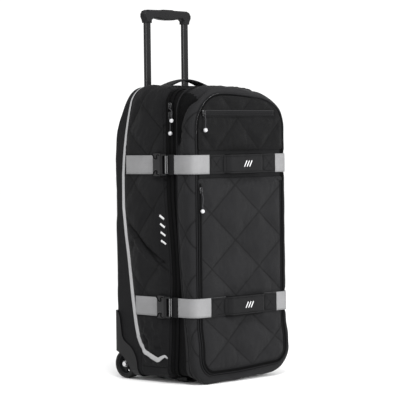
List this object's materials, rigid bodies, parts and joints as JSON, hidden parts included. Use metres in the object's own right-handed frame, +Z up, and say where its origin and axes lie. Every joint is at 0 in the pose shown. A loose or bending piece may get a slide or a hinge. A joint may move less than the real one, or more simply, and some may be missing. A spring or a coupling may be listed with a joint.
{
  "type": "rolling duffel bag",
  "caption": "Tall upright wheeled soft duffel with a telescopic trolley handle, zipped front lid, side-release compression straps and outside zip pockets.",
  "frame": {"origin": "on the ground under the middle of the standing bag's box", "axes": "+Z up, +X to the bag's right seen from the back, the zipped front faces -Y and the wheels are at +Y"},
  "size_m": [0.3946, 0.3393, 1],
  "materials": {
    "quilted_fabric": "diamond-quilted ripstop polyester, slight sheen",
    "tough_fabric": "coated heavy plain-weave fabric",
    "lining": "thin plain-weave lining",
    "grey_webbing": "light grey ribbed webbing, slight sheen",
    "black_webbing": "black ribbed webbing",
    "reflective_trim": "smooth silver-grey reflective tape",
    "zip_tape": "woven zip tape with coil teeth",
    "moulded_plastic": "fine-grained moulded nylon",
    "board": "plain extruded sheet",
    "dark_aluminium": "dark anodised extrusion",
    "steel": "plated steel",
    "wheel_rubber": "moulded polyurethane tread",
    "wheel_hub": "moulded nylon hub",
    "pull_cord": "braided round cord",
    "silver_ball": "silver moulded pull end"
  },
  "bodies": {
    "bag_body": {"back_panel": "tough_fabric", "side_panel_left": "quilted_fabric", "side_panel_right": "quilted_fabric", "top_panel": "quilted_fabric", "bottom_panel": "tough_fabric", "side_piping_left": "reflective_trim", "side_piping_right": "reflective_trim", "backboard": "board", "back_lining": "lining", "guide_frame": "dark_aluminium", "handle_bezel": "moulded_plastic", "wheel_housing_left": "moulded_plastic", "wheel_housing_right": "moulded_plastic", "wheel_axle_left": "steel", "wheel_axle_right": "steel", "foot_bar": "moulded_plastic", "top_handle": "black_webbing", "side_strap_upper_left": "grey_webbing", "side_strap_upper_right": "grey_webbing", "side_strap_lower_left": "grey_webbing", "side_strap_lower_right": "grey_webbing", "buckle_socket_upper_left": "moulded_plastic", "buckle_socket_lower_left": "moulded_plastic", "buckle_upper_right": "moulded_plastic", "buckle_lower_right": "moulded_plastic", "main_zip_body_tape": "zip_tape"},
    "lid": {"lid_gusset": "quilted_fabric", "lid_front": "quilted_fabric", "upper_pocket": "quilted_fabric", "lower_pocket": "quilted_fabric", "front_strap_upper": "grey_webbing", "front_strap_lower": "grey_webbing", "carry_handle_upper": "black_webbing", "carry_handle_lower": "black_webbing", "buckle_plug_upper_left": "moulded_plastic", "buckle_plug_lower_left": "moulded_plastic", "main_zip_lid_tape": "zip_tape"},
    "trolley_handle": {"slide_tube_left": "dark_aluminium", "slide_tube_right": "dark_aluminium", "grip": "moulded_plastic", "button_spring": "steel"},
    "release": {"release_button": "moulded_plastic"},
    "wheel_left": {"tyre_left": "wheel_rubber", "wheel_hub_left": "wheel_hub", "wheel_bearing_left": "steel"},
    "wheel_right": {"tyre_right": "wheel_rubber", "wheel_hub_right": "wheel_hub", "wheel_bearing_right": "steel"},
    "main_upper_slider": {"main_zip_upper_slider": "steel", "main_zip_upper_pull_cord": "pull_cord", "main_zip_upper_pull_ball": "silver_ball"},
    "main_lower_slider": {"main_zip_lower_slider": "steel", "main_zip_lower_pull_cord": "pull_cord", "main_zip_lower_pull_ball": "silver_ball"},
    "upper_pocket_zip_slider": {"upper_pocket_slider": "steel", "upper_pocket_pull_cord": "pull_cord", "upper_pocket_pull_ball": "silver_ball"},
    "lower_pocket_zip_slider": {"lower_pocket_slider": "steel", "lower_pocket_pull_cord": "pull_cord", "lower_pocket_pull_ball": "silver_ball"}
  },
  "joints": [
    {"name": "lid_hinge", "type": "hinge", "parent": "bag_body", "child": "lid", "pos_m": [0.186, -0.062, 0.4], "axis": [0, 0, 1], "range_deg": [0, 90]},
    {"name": "handle_slide", "type": "slide", "parent": "bag_body", "child": "trolley_handle", "axis": [0, 0, 1], "range_m": [-0.195, 0]},
    {"name": "release_press", "type": "slide", "parent": "trolley_handle", "child": "release", "axis": [0, 0, -1], "range_m": [0, 0.004], "stiffness_N_per_m": 600, "springref_m": -0.003, "deforming": ["button_spring"]},
    {"name": "wheel_left_spin", "type": "hinge", "parent": "bag_body", "child": "wheel_left", "pos_m": [-0.152, 0.131, 0.0385], "axis": [1, 0, 0], "continuous": true},
    {"name": "wheel_right_spin", "type": "hinge", "parent": "bag_body", "child": "wheel_right", "pos_m": [0.152, 0.131, 0.0385], "axis": [1, 0, 0], "continuous": true},
    {"name": "main_upper_zip", "type": "hinge", "parent": "bag_body", "child": "main_upper_slider", "pos_m": [-0.135, -0.067, 0.733], "axis": [0, 1, 0], "range_deg": [0, 88]},
    {"name": "main_lower_zip", "type": "slide", "parent": "bag_body", "child": "main_lower_slider", "axis": [0, 0, 1], "range_m": [-0.04, 0]},
    {"name": "upper_pocket_zip", "type": "slide", "parent": "lid", "child": "upper_pocket_zip_slider", "axis": [1, 0, 0], "range_m": [0, 0.25]},
    {"name": "lower_pocket_zip", "type": "slide", "parent": "lid", "child": "lower_pocket_zip_slider", "axis": [0, 0, 1], "range_m": [-0.215, 0]}
  ]
}
